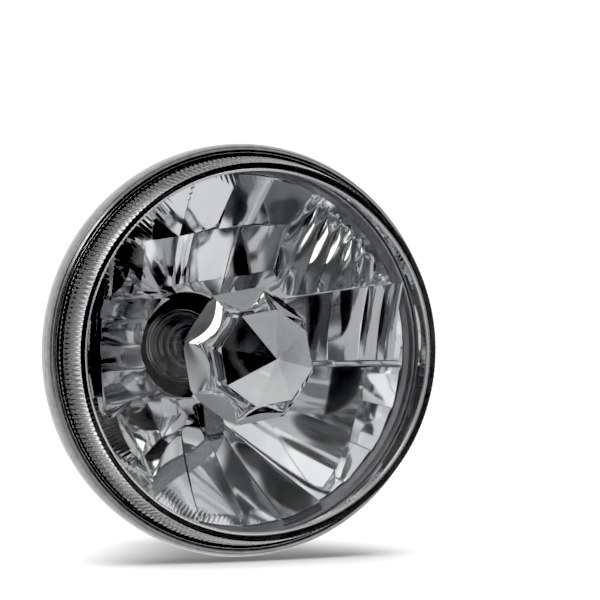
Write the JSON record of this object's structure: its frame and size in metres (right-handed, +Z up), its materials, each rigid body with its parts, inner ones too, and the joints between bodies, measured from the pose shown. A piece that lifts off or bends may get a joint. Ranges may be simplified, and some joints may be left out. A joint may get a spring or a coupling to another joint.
{
  "type": "round car headlight unit",
  "caption": "Round car headlight unit: clear lens with a fluted edge, faceted mirror bowl, eight-sided bulb shield, clip-in halogen bulb and rubber dust boot.",
  "frame": {"origin": "on the lamp's axis, in the plane of the rim's rear seating face", "axes": "+Y points along the lamp's axis to the rear, so the lens faces -Y; +Z is up as mounted; +X is to the right of someone who faces the lens"},
  "size_m": [0.178, 0.1633, 0.178],
  "materials": {
    "reflector": "mirror bright inside the bowl, dull grey behind",
    "rim_steel": "satin dark grey plating",
    "lens_glass": "clear, with a fluted outer edge",
    "sealant": "dark, matt",
    "gasket": "matt fibre and rubber",
    "shield_chrome": "mirror bright",
    "plated_steel": "zinc plated, dull shine",
    "holder": "black, heat resistant",
    "spring_wire": "bright drawn wire",
    "boot_rubber": "black, soft, slightly dusty",
    "bulb_metal": "nickel plated",
    "insulator": "black, moulded",
    "terminal": "tin plated",
    "bulb_glass": "clear quartz with a dark coated tip",
    "stem": "pressed quartz, frosted",
    "lead_wire": "drawn molybdenum wire",
    "filament": "dark coiled tungsten"
  },
  "bodies": {
    "lamp": {"rim": "rim_steel", "reflector": "reflector", "reflector_collar": "reflector", "lens": "lens_glass", "lens_sealant": "sealant", "shield_cap": "shield_chrome", "shield_strap": "plated_steel", "shield_rivet_1": "plated_steel", "shield_rivet_2": "plated_steel", "holder_gasket": "gasket", "bulb_holder": "holder", "clip_bracket": "plated_steel", "clip_catch": "plated_steel", "holder_rivet_left": "plated_steel", "holder_rivet_right": "plated_steel", "bracket_rivet_left": "plated_steel", "bracket_rivet_right": "plated_steel", "catch_rivet_left": "plated_steel", "catch_rivet_right": "plated_steel"},
    "boot": {"dust_boot": "boot_rubber"},
    "clip": {"bulb_clip": "spring_wire"},
    "bulb": {"bulb_flange": "bulb_metal", "bulb_collar": "bulb_metal", "bulb_can": "bulb_metal", "base_insulator": "insulator", "terminal_common": "terminal", "terminal_low": "terminal", "terminal_high": "terminal", "bulb_glass": "bulb_glass", "bulb_stem": "stem", "support_common": "lead_wire", "support_low": "lead_wire", "support_high": "lead_wire", "filament_shield": "bulb_metal", "filament_low": "filament", "filament_high": "filament"}
  },
  "joints": [
    {"name": "boot_pull", "type": "slide", "parent": "lamp", "child": "boot", "axis": [0, 1, 0], "range_m": [0, 0.094]},
    {"name": "clip_swing", "type": "hinge", "parent": "lamp", "child": "clip", "pos_m": [0, 0.086, -0.029], "axis": [-1, 0, 0], "range_deg": [0, 110]},
    {"name": "bulb_pull", "type": "slide", "parent": "lamp", "child": "bulb", "axis": [0, 1, 0], "range_m": [0, 0.0585]}
  ],
  "couplings": [
    {"joint": "clip_swing", "follows": "boot_pull", "rad_per_m": 20.42},
    {"joint": "bulb_pull", "follows": "boot_pull", "ratio": 0.62}
  ]
}
